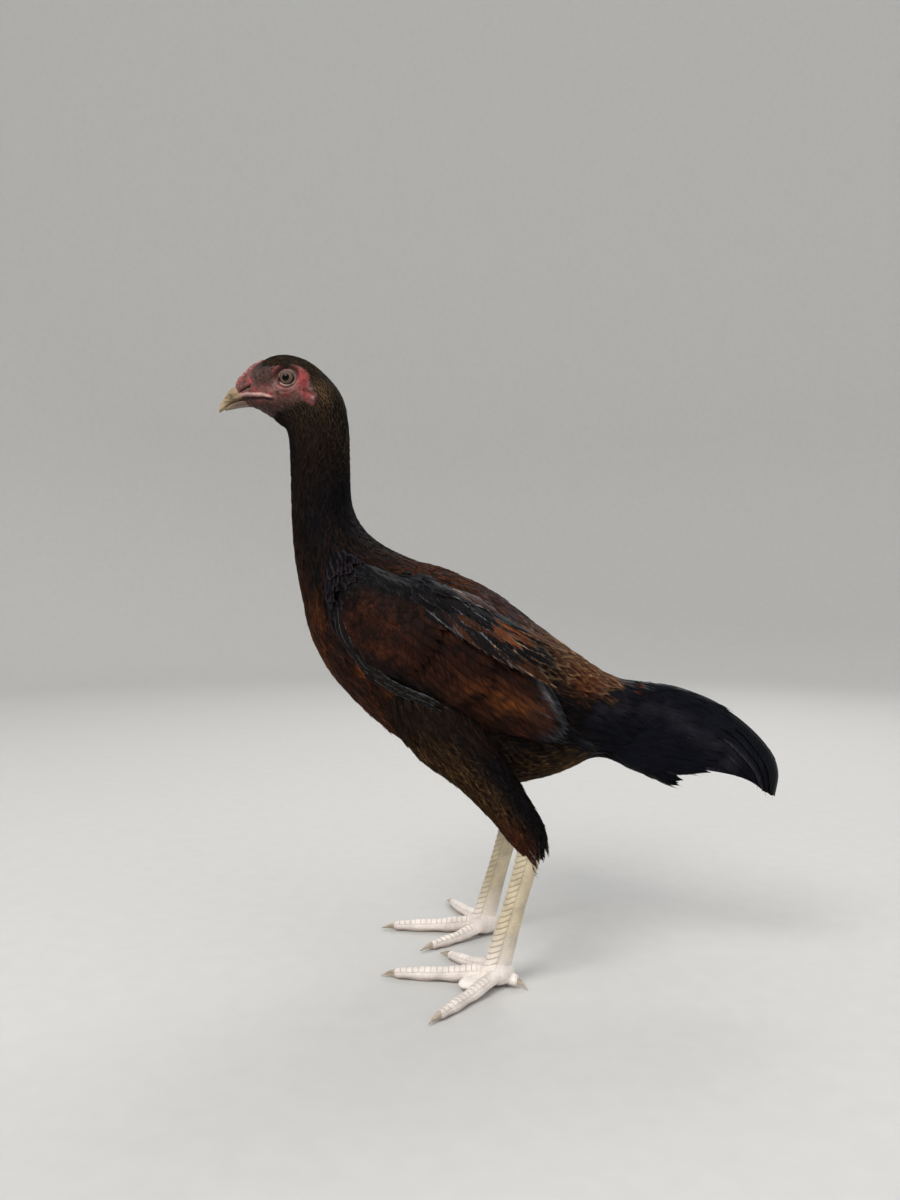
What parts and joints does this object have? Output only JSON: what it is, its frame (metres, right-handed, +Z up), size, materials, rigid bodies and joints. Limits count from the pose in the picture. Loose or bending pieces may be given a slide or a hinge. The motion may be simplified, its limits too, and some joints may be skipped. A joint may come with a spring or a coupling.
{
  "type": "australian game chicken",
  "caption": "Life-size still model of a tall, upright young game hen standing on both feet, with folded wings, a low drooping tail and bare scaled legs.",
  "frame": {"origin": "on the floor, under the middle of the bird's bounding box", "axes": "+Z up, the bird faces -X, and its left side is towards -Y"},
  "size_m": [0.4058, 0.2217, 0.4411],
  "materials": {
    "plumage": "matt feathers",
    "wing_feathers": "satin feathers",
    "tail_feathers": "glossy black feathers",
    "face_skin": "bare red skin",
    "horn": "satin horn",
    "leg_scales": "pale scaled skin",
    "eye": "wet gloss"
  },
  "bodies": {
    "root": {"torso": "plumage", "neck": "plumage", "thigh_left": "plumage", "thigh_right": "plumage", "wing_left": "wing_feathers", "wing_right": "wing_feathers", "tail": "tail_feathers", "head": "face_skin", "comb": "face_skin", "ear_left": "face_skin", "ear_right": "face_skin", "bill_upper": "horn", "bill_lower": "horn", "eye_left": "eye", "eye_right": "eye", "shank_left": "leg_scales", "shank_right": "leg_scales", "toe_left_middle": "leg_scales", "claw_left_middle": "horn", "toe_left_inner": "leg_scales", "claw_left_inner": "horn", "toe_left_outer": "leg_scales", "claw_left_outer": "horn", "toe_left_hind": "leg_scales", "claw_left_hind": "horn", "toe_right_middle": "leg_scales", "claw_right_middle": "horn", "toe_right_inner": "leg_scales", "claw_right_inner": "horn", "toe_right_outer": "leg_scales", "claw_right_outer": "horn", "toe_right_hind": "leg_scales", "claw_right_hind": "horn"}
  },
  "joints": []
}
